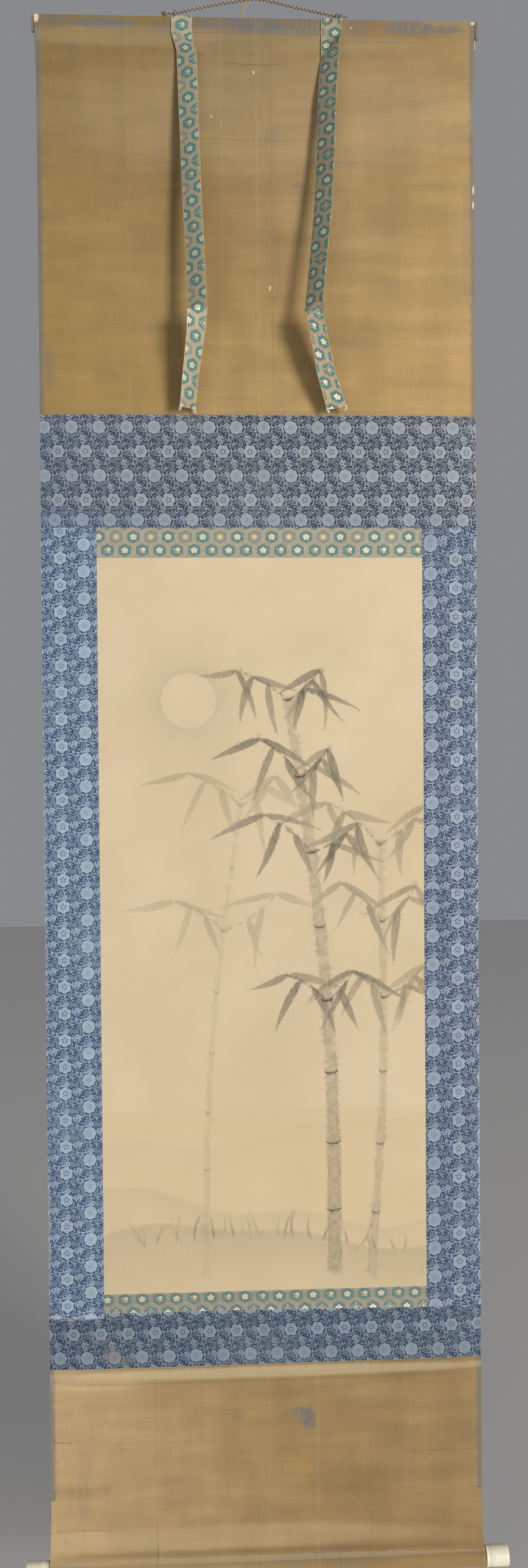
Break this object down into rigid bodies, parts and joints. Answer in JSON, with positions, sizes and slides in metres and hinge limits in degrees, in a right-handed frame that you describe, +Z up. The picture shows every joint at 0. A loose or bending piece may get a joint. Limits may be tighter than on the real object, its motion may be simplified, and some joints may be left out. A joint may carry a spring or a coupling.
{
  "type": "hanging scroll painting with its top stave and bottom roller",
  "caption": "Long narrow hanging scroll: silk and damask panels around a paper painting, hung by a cord from a top stave and weighted by a roller.",
  "frame": {"origin": "the top bend of the hanging cord, where it lies over a hook that isn't part of the scroll", "axes": "+X to the right seen from the front, +Y away from the viewer into the wall, +Z up; the scroll's face looks along -Y"},
  "size_m": [0.6076, 0.0651, 1.9734],
  "materials": {
    "brown_silk": "plain woven silk, faded, with soft sheen",
    "navy_damask": "silk damask, navy ground with pale arabesque figures",
    "blue_damask": "silk damask, mid-blue ground with pale arabesque figures",
    "hexagon_brocade": "teal and gold figured brocade in a hexagon lattice",
    "painting_paper": "warm cream paper with ink wash",
    "plain_wood": "planed softwood",
    "ivory_white": "polished ivory-white resin or bone",
    "eyelet_metal": "pale worn brass",
    "two_colour_braid": "round braid of cream and dark brown",
    "pale_flat_braid": "flat braid of pale grey-cream",
    "white_thread": "loose white silk thread"
  },
  "bodies": {
    "root": {"top_panel": "brown_silk", "top_stave": "plain_wood", "stave_cover_left": "brown_silk", "stave_cover_right": "brown_silk", "eyelet_left": "eyelet_metal", "eyelet_right": "eyelet_metal", "hanging_cord": "two_colour_braid", "cord_knot_left": "two_colour_braid", "cord_knot_right": "two_colour_braid", "winding_cord": "pale_flat_braid", "streamer_left": "hexagon_brocade", "streamer_right": "hexagon_brocade", "tuft_left_a": "white_thread", "tuft_left_b": "white_thread", "tuft_right_a": "white_thread", "tuft_right_b": "white_thread", "blue_top_band": "navy_damask", "blue_narrow_strip": "navy_damask", "blue_column_left": "blue_damask", "blue_column_right_patch": "blue_damask", "blue_column_right_upper": "blue_damask", "blue_column_right_lower": "blue_damask", "blue_bottom_band": "navy_damask", "brocade_strip_top": "hexagon_brocade", "brocade_strip_bottom": "hexagon_brocade", "painting_sheet": "painting_paper", "lower_panel": "brown_silk", "roller_core": "plain_wood", "roller_end_left": "ivory_white", "roller_end_right": "ivory_white"}
  },
  "joints": []
}
